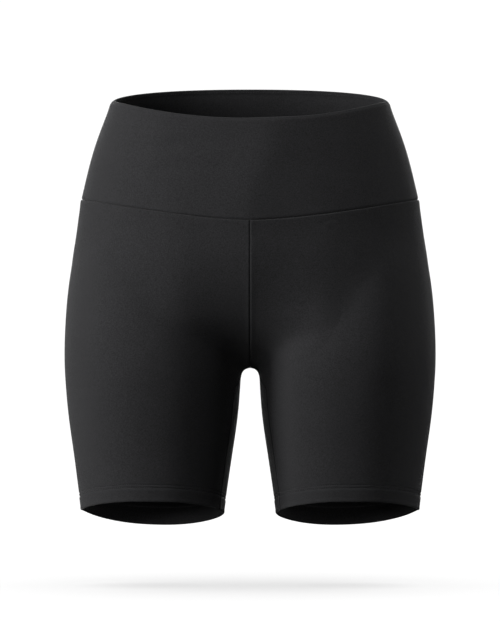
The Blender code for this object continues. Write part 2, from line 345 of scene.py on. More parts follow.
@dataclass
class Cut:
    """Levels and sweeps of the cut edges."""

    form: BodyForm
    rim_front_drop: float = 0.0188
    rim_back_rise: float = 0.0152
    rim_back_round: float = 2.2
    seam_side: float = -0.0945
    seam_front_drop: float = 0.0212
    seam_back_rise: float = 0.0155
    seam_sweep: float = 1.45
    seam_gap: float = 0.0003
    hem_side: float = -0.3925
    hem_inner_drops: tuple[float, float] = (0.0009, 0.0024)
    hem_front_rise: float = 0.01235
    hem_back_drop: float = 0.0161
    hem_sweeps: tuple[float, float] = (1.25, 1.45)
    hem_turn: float = 0.030

    def share(self, points: Points) -> np.ndarray:
        """Return how far across points lie: 0 at the centre line, 1 at the side."""
        return np.clip(np.abs(points[..., 0]) / self.form.half_width(points[..., 2]), 0.0, 1.0)

    def rim(self, points: Points) -> np.ndarray:
        """Return the height of the waist edge.

        Args:
            points: Points on the form.

        Returns:
            Heights.
        """
        share = self.share(points)
        front = -self.rim_front_drop * (1.0 - share**2)
        back = self.rim_back_rise * (1.0 - share**self.rim_back_round) ** (1.0 / self.rim_back_round)
        return np.where(points[..., 1] < 0.0, front, back)

    def waist_seam(self, points: Points) -> np.ndarray:
        """Return the height of the waist seam."""
        middle = np.where(points[..., 1] < 0.0, -self.seam_front_drop, self.seam_back_rise)
        return self.seam_side + middle * (1.0 - self.share(points) ** self.seam_sweep)

    def hem(self, points: Points) -> np.ndarray:
        """Return the height of a leg's hem fold, for the leg on the +X side.

        Args:
            points: Points on the form.

        Returns:
            Heights.
        """
        leg = self.form.leg
        inner, outer = leg["inner"](self.hem_side), leg["outer"](self.hem_side)
        y = points[..., 1]
        depth = np.where(y < 0.0, leg["front"](self.hem_side), leg["back"](self.hem_side))
        front_sweep, back_sweep = self.hem_sweeps
        swing = np.clip(np.abs(y) / depth, 0.0, 1.0) ** np.where(y < 0.0, front_sweep, back_sweep)
        inwards = ((inner + outer) / 2.0 - points[..., 0]) / ((outer - inner) / 2.0)
        front_drop, back_drop = self.hem_inner_drops
        inner_drop = front_drop + (back_drop - front_drop) * smooth_step(y, -self.hem_turn, self.hem_turn)
        tilt = swing * np.where(y < 0.0, self.hem_front_rise, -self.hem_back_drop)
        return self.hem_side - inner_drop * inwards + tilt


@dataclass(frozen=True)
class Seam:
    """How cloth rolls in at a seam: a groove at the edge and a soft ridge beside it."""

    groove: float
    groove_width: float
    ridge: float
    ridge_at: float
    ridge_width: float

    def lift(self, distance: np.ndarray) -> np.ndarray:
        """Return how far cloth stands out at a distance from the seam."""
        ridge = self.ridge * bump(distance, self.ridge_at, self.ridge_width)
        return ridge - self.groove * bump(distance, 0.0, self.groove_width)


@dataclass(frozen=True)
class Ripple:
    """One soft ridge or trough in the cloth, placed on the front or the back.

    It runs along a line turned by some degrees from level, and falls away over one width below or left
    of the line and over another beyond it.
    """

    face: Face
    across: float
    height: float
    long: float
    narrow: float
    turn: float
    lift: float
    beyond: float = 0.0
    crease: float = 2.0

    def at(self, points: Points) -> np.ndarray:
        """Return how far the ripple lifts the cloth.

        Args:
            points: Points on the form.

        Returns:
            Lifts, below zero in a trough.
        """
        facing = smooth_step(points[..., 1] * self.face.value, *FACING_FADE)
        x = points[..., 0] - self.across
        z = points[..., 2] - self.height
        cosine, sine = math.cos(math.radians(self.turn)), math.sin(math.radians(self.turn))
        along, over = x * cosine + z * sine, z * cosine - x * sine
        width = np.where(over > 0.0, self.beyond or self.narrow, self.narrow)
        falls = (along / self.long) ** 2 + np.abs(over / width) ** self.crease
        return facing * self.lift * np.exp(-falls)


# Place across, height, length, width, turn, lift, then any width beyond the line and crease.
FRONT_RIPPLES: tuple[tuple[float, ...], ...] = (
    (0.012, -0.056, 0.056, 0.0230, 72.0, 0.00280, 0.0280),
    (0.080, -0.090, 0.110, 0.0360, 90.0, -0.00190),
    (-0.125, -0.112, 0.048, 0.0450, 90.0, 0.00160, 0.0350),
    (0.000, -0.170, 0.072, 0.0210, 90.0, 0.00270, 0.0600, 1.15),
    (0.070, -0.214, 0.066, 0.0280, 50.0, -0.00200, 0.0330),
    (-0.018, -0.242, 0.034, 0.0320, 0.0, 0.00170),
    (0.128, -0.235, 0.110, 0.0360, 90.0, 0.00300, 0.0500),
    (-0.098, -0.030, 0.034, 0.0055, -4.0, 0.00042),
    (-0.070, -0.044, 0.046, 0.0065, 3.0, -0.00042),
    (-0.058, -0.056, 0.040, 0.0060, 1.0, 0.00036),
    (-0.090, -0.068, 0.030, 0.0060, 2.0, -0.00030),
    (-0.086, -0.036, 0.016, 0.0130, 78.0, 0.00030),
    (-0.112, -0.060, 0.018, 0.0100, 62.0, -0.00035),
    (0.092, -0.040, 0.030, 0.0060, 5.0, 0.00028),
    (0.076, -0.066, 0.036, 0.0075, -8.0, -0.00030),
    (0.1285, -0.1045, 0.0060, 0.0030, 10.0, -0.00060),
    (-0.1290, -0.1030, 0.0060, 0.0030, -10.0, -0.00055),
    (0.058, -0.226, 0.046, 0.0120, 46.0, -0.00045),
    (-0.061, -0.229, 0.042, 0.0115, -44.0, -0.00040),
    (0.124, -0.262, 0.030, 0.0100, 24.0, 0.00035),
    (-0.118, -0.271, 0.028, 0.0090, -20.0, 0.00030),
)
BACK_RIPPLES: tuple[tuple[float, ...], ...] = (
    (0.052, -0.032, 0.050, 0.0060, -3.0, 0.00034),
    (-0.071, -0.047, 0.044, 0.0055, 4.0, -0.00034),
    (0.088, -0.060, 0.036, 0.0060, 2.0, -0.00028),
    (0.064, -0.246, 0.044, 0.0085, 34.0, -0.00075),
    (-0.060, -0.250, 0.040, 0.0080, -31.0, -0.00070),
    (0.088, -0.268, 0.036, 0.0080, 22.0, 0.00050),
    (-0.092, -0.275, 0.034, 0.0075, -18.0, 0.00048),
    (0.118, -0.236, 0.026, 0.0070, 12.0, -0.00030),
)
RIPPLES: tuple[Ripple, ...] = tuple(
    Ripple(face, *row)
    for face, rows in ((Face.FRONT, FRONT_RIPPLES), (Face.BACK, BACK_RIPPLES))
    for row in rows
)


def new_finish(name: str) -> tuple[bpy.types.Material, bpy.types.Node]:
    """Return a new node material and its main shader.

    Args:
        name: The material's name.

    Returns:
        The material and the shader.
    """
    made = bpy.data.materials.new(name)
    made.use_nodes = True
    return made, made.node_tree.nodes["Principled BSDF"]


def shades(tree: bpy.types.NodeTree, colour: Colour, spread: float) -> bpy.types.Node:
    """Return a mix node that runs from a darker to a lighter shade of a colour.

    Args:
        tree: The material's nodes.
        colour: The colour in the middle.
        spread: How far each end lies from it, as a share of it.

    Returns:
        The node.
    """
    node = tree.nodes.new("ShaderNodeMix")
    node.data_type = "RGBA"
    for socket, share in (("A", 1.0 - spread), ("B", 1.0 + spread)):
        node.inputs[socket].default_value = (*(part * share for part in colour), 1.0)
    return node


@dataclass(frozen=True)
class Knit:
    """A plain stretch knit: its colour, dullness, nap and the size of its loops.

    The grain, cloud and loop shares say how much each of them darkens and lightens the colour, and the
    lean how far the loops swing sideways from row to row.
    """

    name: str
    shade: float
    relief: float
    colour: Colour = (0.0189, 0.0189, 0.0202)
    roughness: float = 0.86
    specular: float = 0.18
    sheen: float = 0.10
    sheen_roughness: float = 0.45
    wale: float = 0.00052
    course: float = 0.00042
    lean: float = 0.7
    grain: float = 0.90
    grain_scale: float = 920.0
    cloud: float = 0.15
    cloud_scale: float = 26.0
    loop: float = 0.25
    relief_depth: float = 0.00025
    loop_relief: float = 0.5
    grain_relief: float = 0.8

    def material(self) -> bpy.types.Material:
        """Return the knit as a node material that follows the cloth's own UV map, in metres.

        Returns:
            The material.
        """
        made, shader = new_finish(self.name)
        nodes, links = made.node_tree.nodes, made.node_tree.links
        shader.inputs["Roughness"].default_value = self.roughness
        shader.inputs["Specular IOR Level"].default_value = self.specular
        shader.inputs["Sheen Weight"].default_value = self.sheen
        shader.inputs["Sheen Roughness"].default_value = self.sheen_roughness
        shader.inputs["Sheen Tint"].default_value = (1.0, 1.0, 1.0, 1.0)

        def math_node(kind: str, first: object, second: object) -> bpy.types.NodeSocket:
            """Return the result of one sum.

            Args:
                kind: The sum, as the node's operation.
                first: A socket or number.
                second: Another.

            Returns:
                The result's socket.
            """
            node = nodes.new("ShaderNodeMath")
            node.operation = kind
            for socket, value in zip(node.inputs, (first, second)):
                if isinstance(value, bpy.types.NodeSocket):
                    links.new(value, socket)
                else:
                    socket.default_value = value
            return node.outputs["Value"]

        def noise(source: bpy.types.NodeSocket, scale: float, detail: float) -> bpy.types.NodeSocket:
            """Return a soft noise.

            Args:
                source: The places it is worked out for.
                scale: How many of its blots lie in a metre.
                detail: How many finer layers it has.

            Returns:
                Its socket.
            """
            node = nodes.new("ShaderNodeTexNoise")
            node.inputs["Scale"].default_value = scale
            node.inputs["Detail"].default_value = detail
            links.new(source, node.inputs["Vector"])
            return node.outputs["Fac"]

        cloth = nodes.new("ShaderNodeUVMap")
        cloth.uv_map = "cloth"
        split = nodes.new("ShaderNodeSeparateXYZ")
        links.new(cloth.outputs["UV"], split.inputs["Vector"])
        place = nodes.new("ShaderNodeTexCoord").outputs["Object"]
        turn = 2.0 * math.pi
        rows = math_node("MULTIPLY", split.outputs["Y"], turn / self.course)
        swing = math_node("MULTIPLY", math_node("SINE", rows, 0.0), self.lean)
        wales = math_node("ADD", math_node("MULTIPLY", split.outputs["X"], turn / self.wale), swing)
        loops = math_node("ABSOLUTE", math_node("SINE", wales, 0.0), 0.0)
        fuzz = noise(place, self.grain_scale, 2.0)
        cloud = noise(place, self.cloud_scale, 3.0)

        grains = math_node("MULTIPLY", fuzz, self.grain)
        mixed = math_node("ADD", grains, math_node("MULTIPLY", cloud, self.cloud))
        mixed = math_node("ADD", mixed, math_node("MULTIPLY", loops, self.loop))
        too_light = (self.grain + self.cloud) / 2.0 + self.loop * 2.0 / math.pi - 0.5
        tone = shades(made.node_tree, self.colour, self.shade)
        links.new(math_node("SUBTRACT", mixed, too_light), tone.inputs["Factor"])
        links.new(tone.outputs["Result"], shader.inputs["Base Color"])

        relief = nodes.new("ShaderNodeBump")
        relief.inputs["Strength"].default_value = self.relief
        relief.inputs["Distance"].default_value = self.relief_depth
        raised = math_node("MULTIPLY", loops, self.loop_relief)
        height = math_node("ADD", raised, math_node("MULTIPLY", fuzz, self.grain_relief))
        links.new(height, relief.inputs["Height"])
        links.new(relief.outputs["Normal"], shader.inputs["Normal"])
        return made


@dataclass(frozen=True)
class Thread:
    """Sewing thread: its colour and dullness."""

    name: str
    colour: Colour
    roughness: float
    sheen: float = 0.15
    shade: float = 0.3
    twist_scale: float = 2600.0

    def material(self) -> bpy.types.Material:
        """Return the thread as a node material with a fine uneven tone.

        Returns:
            The material.
        """
        made, shader = new_finish(self.name)
        nodes, links = made.node_tree.nodes, made.node_tree.links
        shader.inputs["Roughness"].default_value = self.roughness
        shader.inputs["Sheen Weight"].default_value = self.sheen
        twist = nodes.new("ShaderNodeTexNoise")
        twist.inputs["Scale"].default_value = self.twist_scale
        tone = shades(made.node_tree, self.colour, self.shade)
        links.new(nodes.new("ShaderNodeTexCoord").outputs["Object"], twist.inputs["Vector"])
        links.new(twist.outputs["Fac"], tone.inputs["Factor"])
        links.new(tone.outputs["Result"], shader.inputs["Base Color"])
        return made


LEG_KNIT = Knit("leg_jersey", shade=0.92, relief=0.35)
BAND_KNIT = Knit("waistband_jersey", shade=0.90, relief=0.30)
HEM_THREAD = Thread("charcoal_thread", (0.032, 0.032, 0.034), 0.65)


def new_piece(
    name: str, vertices: list, faces: list, finishes: list[bpy.types.Material]
) -> bpy.types.Object:
    """Return a new smooth mesh object in the scene.

    Args:
        name: The piece's name.
        vertices: Its vertices.
        faces: Its faces, as indices into them.
        finishes: Its materials.

    Returns:
        The new object.
    """
    mesh = bpy.data.meshes.new(name)
    mesh.from_pydata(vertices, [], faces)
    for finish in finishes:
        mesh.materials.append(finish)
    mesh.update()
    mesh.shade_smooth()
    piece = bpy.data.objects.new(name, mesh)
    bpy.context.scene.collection.objects.link(piece)
    return piece


def tubes(sections: Points) -> tuple[list, list]:
    """Return the vertices and faces of closed tubes, tube by tube.

    Args:
        sections: The rings of points round each tube.

    Returns:
        Vertices and faces.
    """
    count, rings, sides = sections.shape[:3]
    faces = []
    for tube in range(count):
        base = tube * rings * sides
        for ring in range(rings - 1):
            for i in range(sides):
                a, b = base + ring * sides + i, base + ring * sides + (i + 1) % sides
                faces.append((a, b, b + sides, a + sides))
        faces.append(tuple(base + i for i in reversed(range(sides))))
        faces.append(tuple(base + (rings - 1) * sides + i for i in range(sides)))
    return sections.reshape(-1, 3).tolist(), faces


def full_turn(sides: int) -> np.ndarray:
    """Return the angles of a tube's sides, in the order that turns its faces outwards."""
    return np.linspace(0.0, -2.0 * math.pi, sides, endpoint=False)


def at_lengths(values: Points, lengths: np.ndarray, at: np.ndarray) -> Points:
    """Return a line's values at given lengths along it."""
    return np.stack([np.interp(at, lengths, values[:, i]) for i in range(3)], axis=-1)


def arc_lengths(points: Points, axis: int) -> np.ndarray:
    """Return the length walked along one axis of a grid of points, from 0 at its start.

    Args:
        points: The grid.
        axis: The axis that is walked along.

    Returns:
        The length at each point.
    """
    steps = np.linalg.norm(np.diff(points, axis=axis), axis=-1)
    start = np.zeros_like(np.take(steps, [0], axis=axis))
    return np.concatenate((start, np.cumsum(steps, axis=axis)), axis=axis)


def graded(first: float, last: float, fine: float, coarse: float, growth: float = 1.35) -> list[float]:
    """Return lengths from first to last whose steps grow from fine at both ends to coarse between.

    Args:
        first: Where they start.
        last: Where they end.
        fine: The step at the ends.
        coarse: The largest step.
        growth: How much each step grows from its neighbour.

    Returns:
        The lengths, with both ends.
    """
    half = (last - first) / 2.0
    at, step = [0.0], fine
    while at[-1] + step < half:
        at.append(at[-1] + step)
        step = min(step * growth, coarse)
    at = [value * half / (at[-1] + step / 2.0) for value in at]
    return [first + value for value in at] + [last - value for value in reversed(at)]


@dataclass
class Cloth:
    """A piece of cloth as two grids of points, its outer and inner skin, closed all round its edge."""

    name: str
    outer: Points
    inner: Points
    joined_from: int
    folded_top: bool = False
    folded_bottom: bool = False
    fold_steps: int = 6

    def _fold(self, row: int) -> Points:
        """Return the rows of a rounded fold between the skins, outer side first.

        Args:
            row: The row of the skins that is folded.

        Returns:
            The fold's rows.
        """
        middle = (self.outer[row] + self.inner[row]) / 2.0
        half = (self.outer[row] - self.inner[row]) / 2.0
        size = np.linalg.norm(half, axis=-1, keepdims=True)
        next_row = self.outer[row + 1] if row == 0 else self.outer[row - 1]
        ahead = self.outer[row] - next_row
        ahead = ahead / np.linalg.norm(ahead, axis=-1, keepdims=True)
        turns = np.linspace(0.0, math.pi, self.fold_steps + 1)[1:-1]
        return np.stack([middle + half * math.cos(turn) + ahead * size * math.sin(turn) for turn in turns])

    def build(self, material: bpy.types.Material) -> bpy.types.Object:
        """Return the piece as one closed mesh with a UV map in metres.

        Args:
            material: The cloth's finish.

        Returns:
            The new object.
        """
        rows, columns = self.outer.shape[:2]
        loops = [self.outer]
        if self.folded_bottom:
            loops.append(self._fold(rows - 1))
        loops.append(self.inner[::-1])
        if self.folded_top:
            loops.append(self._fold(0)[::-1])
        ring = np.concatenate(loops)
        count = len(ring)
        joined = np.zeros(count, bool)
        joined[self.joined_from : rows] = True
        first_inner = rows + (self.fold_steps - 1 if self.folded_bottom else 0)
        joined[rows:first_inner] = self.joined_from < rows
        joined[first_inner : first_inner + rows - self.joined_from] = True

        own = np.arange(count * columns).reshape(count, columns)
        shared = own.copy()
        shared[joined, -1] = shared[joined, 0]
        over = np.roll(np.arange(count), -1)
        quads = np.stack((own[:, :-1], own[over, :-1], own[over, 1:], own[:, 1:]), axis=-1).reshape(-1, 4)
        used, flat = np.unique(shared, return_inverse=True)
        flat = flat.reshape(-1)
        faces = [tuple(face) for face in flat[quads].tolist()]
        sides = []
        for low, high in zip(range(rows - 1), range(1, rows)):
            if low >= self.joined_from:
                break
            a, b = first_inner + rows - 1 - low, first_inner + rows - 1 - high
            sides.append((own[low, 0], own[a, 0], own[b, 0], own[high, 0]))
            sides.append((own[low, -1], own[high, -1], own[b, -1], own[a, -1]))
        if self.folded_top and self.joined_from > 0:
            top = [*range(count - self.fold_steps + 1, count)]
            cap = [0, *reversed(top), first_inner + rows - 1]
            sides.append(tuple(own[i, 0] for i in cap))
            sides.append(tuple(own[i, -1] for i in reversed(cap)))
        faces.extend(tuple(int(flat[i]) for i in side) for side in sides)

        piece = new_piece(self.name, ring.reshape(-1, 3)[used].tolist(), faces, [material])
        across = arc_lengths(ring, 1)
        across = across - across[:, [columns // 2]]
        along = np.repeat(arc_lengths(ring[:, [columns // 2]], 0), columns, axis=1)
        uv = np.stack((across, along), axis=-1).reshape(-1, 2)
        order = np.concatenate([quads.reshape(-1), *[np.array(side) for side in sides]]).astype(int)
        piece.data.uv_layers.new(name="cloth").data.foreach_set("uv", uv[order].reshape(-1))
        piece.data.set_sharp_from_angle(angle=SHARP_ANGLE)
        return piece


@dataclass
class StitchRow:
    """A row of short stitches that lie on the cloth along a line, each arched and thinner at its tips."""

    name: str
    pitch: float = 0.0022
    length: float = 0.0015
    thickness: float = 0.00036
    sunk: float = 0.50
    arch: tuple[float, float] = (0.12, 0.88)
    tip: float = 0.45
    look_ahead: float = 1e-4
    rings: int = 5
    sides: int = 6

    def _sections(self, line: Points, normals: Points) -> Points:
        """Return the sections of all stitches along a line.

        Args:
            line: Points of the line on the cloth.
            normals: The way out of the cloth at each point.

        Returns:
            The rings of points round each stitch.
        """
        length = arc_lengths(line, 0)
        starts = np.arange(0.0, length[-1] - self.length, self.pitch)
        share = np.linspace(0.0, 1.0, self.rings)
        at = starts[:, None] + share * self.length
        place, out = at_lengths(line, length, at), at_lengths(normals, length, at)
        across = np.cross(at_lengths(line, length, at + self.look_ahead) - place, out)
        across = across / np.linalg.norm(across, axis=-1, keepdims=True)
        first, last = self.arch
        rise = np.sin(math.pi * (first + (last - first) * share))
        radius = self.thickness / 2.0 * (self.tip + (1.0 - self.tip) * rise)
        middle = place + out * (self.thickness * (rise - 0.5 - self.sunk))[:, None]
        turn = full_turn(self.sides)[:, None]
        ring = across[:, :, None] * np.cos(turn) + out[:, :, None] * np.sin(turn)
        return middle[:, :, None] + radius[:, None, None] * ring

    def build(self, lines: list[tuple[Points, Points]], material: bpy.types.Material) -> bpy.types.Object:
        """Return one object with the stitches of several lines.

        Args:
            lines: Pairs of a line's points and its normals.
            material: The thread's finish.

        Returns:
            The new object.
        """
        sections = np.concatenate([self._sections(line, normals) for line, normals in lines])
        return new_piece(self.name, *tubes(sections), [material])


@dataclass
class SeamBinding:
    """The overlocked allowances of a seam: a soft ridge along its inside, with thread laid across.

    A core, where it has a size, fills the seam itself, and may reach on past the line's start.
    """

    name: str
    width: float = 0.0052
    height: float = 0.0012
    raised: float = 0.25
    point_gap: float = 0.0024
    sides: int = 12
    thread_gap: float = 0.0022
    thread_lean: float = 0.0009
    thread_size: float = 0.00034
    thread_span: tuple[float, float] = (0.06, 0.94)
    thread_lies: float = 0.5
    thread_points: int = 7
    thread_sides: int = 5
    core_size: float = 0.0
    core_depth: float = 0.0010
    core_reach: float = 0.0

    @staticmethod
    def _evenly(line: Points, inwards: Points, gap: float) -> tuple[Points, Points, Points]:
        """Return even points along a line, the way in and the way across at each.

        Args:
            line: Points along the inside of the seam.
            inwards: The way into the garment at each point.
            gap: How far apart the even points lie.

        Returns:
            Points, unit directions inwards and unit directions across.
        """
        length = arc_lengths(line, 0)
        at = np.linspace(0.0, length[-1], max(3, int(length[-1] / gap) + 1))
        place, inward = at_lengths(line, length, at), at_lengths(inwards, length, at)
        inward = inward / np.linalg.norm(inward, axis=-1, keepdims=True)
        across = np.cross(np.gradient(place, axis=0), inward)
        return place, inward, across / np.linalg.norm(across, axis=-1, keepdims=True)

    def _ridge(
        self, line: Points, inwards: Points, width: float, height: float, rise: float
    ) -> tuple[list, list]:
        """Return the vertices and faces of a soft ridge along the seam.

        Args:
            line: Points along the inside of the seam.
            inwards: The way into the garment at each point.
            width: How wide the ridge is.
            height: How thick it is.
            rise: How far in from the line its middle runs.

        Returns:
            Vertices and faces.
        """
        place, inward, across = self._evenly(line, inwards, self.point_gap)
        turn = full_turn(self.sides)[None, :, None]
        middle = place + inward * rise
        wide = across[:, None] * np.cos(turn) * width / 2.0
        high = inward[:, None] * np.sin(turn) * height / 2.0
        return tubes((middle[:, None] + wide + high)[None])

    def _threads(self, line: Points, inwards: Points) -> tuple[list, list]:
        """Return the vertices and faces of the threads that cross the ridge.

        Args:
            line: Points along the inside of the seam.
            inwards: The way into the garment at each point.

        Returns:
            Vertices and faces.
        """
        place, inward, across = self._evenly(line, inwards, self.thread_gap)
        along = np.cross(across, inward)
        over = np.linspace(*self.thread_span, self.thread_points) * math.pi
        cosine, sine = np.cos(over)[None, :, None], np.sin(over)[None, :, None]
        radius = self.thread_size / 2.0
        sideways = across[:, None] * (self.width / 2.0) - along[:, None] * self.thread_lean
        rise = self.height * self.raised + (self.height / 2.0 + radius * self.thread_lies) * sine
        centre = place[:, None] + sideways * cosine + inward[:, None] * rise
        outward = across[:, None] * cosine * self.height + inward[:, None] * sine * self.width
        outward = outward / np.linalg.norm(outward, axis=-1, keepdims=True)
        turn = full_turn(self.thread_sides)[None, None, :, None]
        section = outward[:, :, None] * np.cos(turn) + along[:, None, None] * np.sin(turn)
        return tubes(centre[:, :, None] + radius * section)

    def build(
        self, line: Points, inwards: Points, knit: bpy.types.Material, thread: bpy.types.Material
    ) -> bpy.types.Object:
        """Return the binding as one object.

        Args:
            line: Points along the inside of the seam.
            inwards: The way into the garment at each point.
            knit: The ridge's finish.
            thread: The threads' finish.

        Returns:
            The new object.
        """
        verts, faces = self._ridge(line, inwards, self.width, self.height, self.height * self.raised)
        if self.core_size:
            ahead = (line[:1] - line[1:2]) / np.linalg.norm(line[0] - line[1])
            core = np.concatenate((line[:1] + ahead * self.core_reach, line))
            core_inwards = np.concatenate((inwards[:1], inwards))
            more, their = self._ridge(core, core_inwards, self.core_size, self.core_size, -self.core_depth)
            faces = faces + [tuple(len(verts) + i for i in face) for face in their]
            verts = verts + more
        more, their = self._threads(line, inwards)
        threads = [tuple(len(verts) + i for i in face) for face in their]
        piece = new_piece(self.name, verts + more, faces + threads, [knit, thread])
        piece.data.polygons.foreach_set("material_index", [0] * len(faces) + [1] * len(threads))
        piece.data.set_sharp_from_angle(angle=SHARP_ANGLE)
        return piece


@dataclass
class Leg:
    """One leg: a single panel from centre front round to centre back, closed by the inseam."""

    form: BodyForm
    cut: Cut
    side: Side
    axis: tuple[float, float] = (0.088, 0.004)
    wall: float = 0.0012
    hem_allowance: float = 0.0155
    stitch_levels: tuple[float, float] = (0.0150, 0.0122)
    inseam_forward: float = 33.0
    inseam_reach: float = 0.022
    panel_width: float = 0.470
    centre_seam: Seam = Seam(0.00040, 0.00052, 0.00020, 0.0018, 0.0013)
    inseam: Seam = Seam(0.00070, 0.00070, 0.00020, 0.0024, 0.0018)
    waist_seam: Seam = Seam(0.00070, 0.00050, 0.00060, 0.0011, 0.0062)
    crotch_calm: tuple[float, float] = (0.008, 0.026)
    stitch_groove: float = 0.00055
    stitch_groove_width: float = 0.00055
    hem_lift: float = 0.00030
    hem_lift_fades: tuple[float, float] = (0.0095, 0.0118)
    fold_lift: float = 0.00025
    fold_lift_fades: float = 0.0032
    inside_share: float = 0.5
    allowance: float = 0.0007
    allowance_width: float = 0.0065
    allowance_slope: float = 0.0004
    turn_up_slope: float = 0.0002
    core_size: float = 0.0009
    hips_middle: float = -0.165
    centre_sweep: tuple[float, float] = (150.0, 405.0)
    centre_points: int = 1400
    rise_rows: int = 66
    rise_shares: tuple[float, ...] = (0.0, 0.002, 0.004, 0.006, 0.009, 0.012, 0.016, 0.021, 0.028, 0.038)
    row_steps: tuple[float, float, float] = (0.0009, 0.0030, 1.22)
    column_steps: tuple[float, float] = (0.00035, 0.0026)
    turn_up_shares: tuple[float, ...] = (1.06, 1.05, 1.03, 0.99, 0.97)
    hem_rows_from: float = 0.0146
    hem_rows: int = 34

    def _centre_lines(self) -> tuple[Points, Points]:
        """Return where the rows end on the centre front and centre back lines.

        Returns:
            The front ends and the back ends, from the waist seam to the crotch.
        """
        angle = np.radians(np.linspace(*self.centre_sweep, self.centre_points))
        middle = np.array((self.form.middle_gap / 2.0, self.axis[1], self.hips_middle))
        start = np.broadcast_to(middle, angle.shape + (3,))
        ahead = np.stack((np.zeros(angle.shape), np.cos(angle), np.sin(angle)), axis=-1)
        line = self.form.reach(start, ahead)
        lowest = int(np.argmin(line[:, 2]))
        tops = (self.cut.seam_side - self.cut.seam_front_drop, self.cut.seam_side + self.cut.seam_back_rise)
        ends = []
        for half, top in zip((line[: lowest + 1], line[lowest:][::-1]), tops):
            length = arc_lengths(half, 0)
            first = float(np.interp(self.cut.seam_gap - top, -half[:, 2], length))
            at = first + self._shares_above() * (length[-1] - first)
            ends.append(at_lengths(half, length, at))
        return ends[0], ends[1]

    def _shares_above(self) -> np.ndarray:
        """Return how the rows above the crotch share the rise, finest at the waist seam."""
        even = np.linspace(self.rise_shares[-1], 1.0, self.rise_rows - len(self.rise_shares) + 1)
        return np.concatenate((self.rise_shares, even[1:]))

    def _grid(self) -> tuple[Points, int]:
        """Return the leg's points on the form.

        Returns:
            The grid, waist seam first, and the row from which it is closed.
        """
        across = np.array(graded(0.0, self.panel_width, *self.column_steps)) / self.panel_width
        front, back = self._centre_lines()
        whole = 2.0 * math.pi
        first = np.arctan2(front[:, 1] - self.axis[1], front[:, 0] - self.axis[0]) % whole - whole
        last = np.arctan2(back[:, 1] - self.axis[1], back[:, 0] - self.axis[0]) % whole
        angle = first[:, None] + (last - first)[:, None] * across
        crotch = front[-1, 2]
        side = self.cut.seam_side - self.cut.seam_gap
        side = (side + self._shares_above() * (crotch - side))[:, None]

        def above(points: Points) -> np.ndarray:
            """Return the height of the rows above the crotch."""
            end = np.where(points[..., 1] < self.axis[1], front[:, None, 2], back[:, None, 2])
            return end + (side - end) * self.cut.share(points) ** self.cut.seam_sweep

        top = self.form.settle(self.axis, angle, above)
        top[:, 0], top[:, -1] = front, back

        last_ring, *turn_up = (share * self.hem_allowance for share in self.turn_up_shares)
        length = crotch - self.cut.hem_side - last_ring
        down = np.array(graded(0.0, 2.0 * length, *self.row_steps))
        shares = down[(down > 0.0) & (down < length)] / length
        start = last[-1] - math.pi
        forward = math.radians(self.inseam_forward)
        turned = start + (forward - start) * smooth_step(shares * length, 0.0, self.inseam_reach)
        angle = turned[:, None] + math.pi * (2.0 * across - 1.0)

        def below(points: Points) -> np.ndarray:
            """Return the height of the rings from the crotch to the hem allowance."""
            return crotch + shares[:, None] * (self.cut.hem(points) + last_ring - crotch)

        rings = self.form.settle(self.axis, angle, below)
        levels = np.concatenate((turn_up, np.linspace(self.hem_rows_from, 0.0, self.hem_rows)))
        angle = np.broadcast_to(angle[-1], (len(levels), len(across)))
        hem = self.form.settle(self.axis, angle, lambda at: self.cut.hem(at) + levels[:, None])
        rows = np.concatenate((top, rings, hem))
        rows[len(top) :, -1] = rows[len(top) :, 0]
        return rows, len(top) - 1

    def _lift(
        self,
        base: Points,
        closed: np.ndarray,
        to_edge: np.ndarray,
        from_waist: np.ndarray,
        to_hem: np.ndarray,
    ) -> np.ndarray:
        """Return how far the cloth stands out from the form at each point.

        Args:
            base: The leg's points on the form.
            closed: Whether a point lies in a row that goes all round the leg.
            to_edge: How far it lies from the nearer edge of the panel.
            from_waist: How far it lies from the waist seam.
            to_hem: How far it lies from the hem fold.

        Returns:
            Lifts, below zero where the cloth lies in.
        """
        from_crotch = np.abs(from_waist[:, :1] - from_waist[int(np.argmax(closed)), 0])
        lift = np.where(closed, self.inseam.lift(to_edge), self.centre_seam.lift(to_edge))
        lift = lift * smooth_step(from_crotch, *self.crotch_calm)
        lift = lift + self.waist_seam.lift(from_waist)
        lift = lift + sum(ripple.at(base * (self.side.value, 1.0, 1.0)) for ripple in RIPPLES)
        for level in self.stitch_levels:
            lift = lift - self.stitch_groove * bump(to_hem, level, self.stitch_groove_width)
        lift = lift + self.hem_lift * (1.0 - smooth_step(to_hem, *self.hem_lift_fades))
        return lift + self.fold_lift * (1.0 - smooth_step(to_hem, 0.0, self.fold_lift_fades))

    def _walls(self, to_seam: np.ndarray, to_hem: np.ndarray) -> np.ndarray:
        """Return how thick the cloth is, with its turned-up hem and the allowances of its seams.

        Args:
            to_seam: How far each point lies from the nearest seam.
            to_hem: How far it lies from the hem fold.

        Returns:
            Thicknesses.
        """
        slope = self.turn_up_slope / 2.0
        doubled = 1.0 - smooth_step(to_hem, self.hem_allowance - slope, self.hem_allowance + slope)
        flat_part = self.allowance_width - self.allowance_slope
        taped = 1.0 - smooth_step(to_seam, flat_part, self.allowance_width)
        return self.wall * (1.0 + doubled) + self.allowance * taped * (1.0 - doubled)

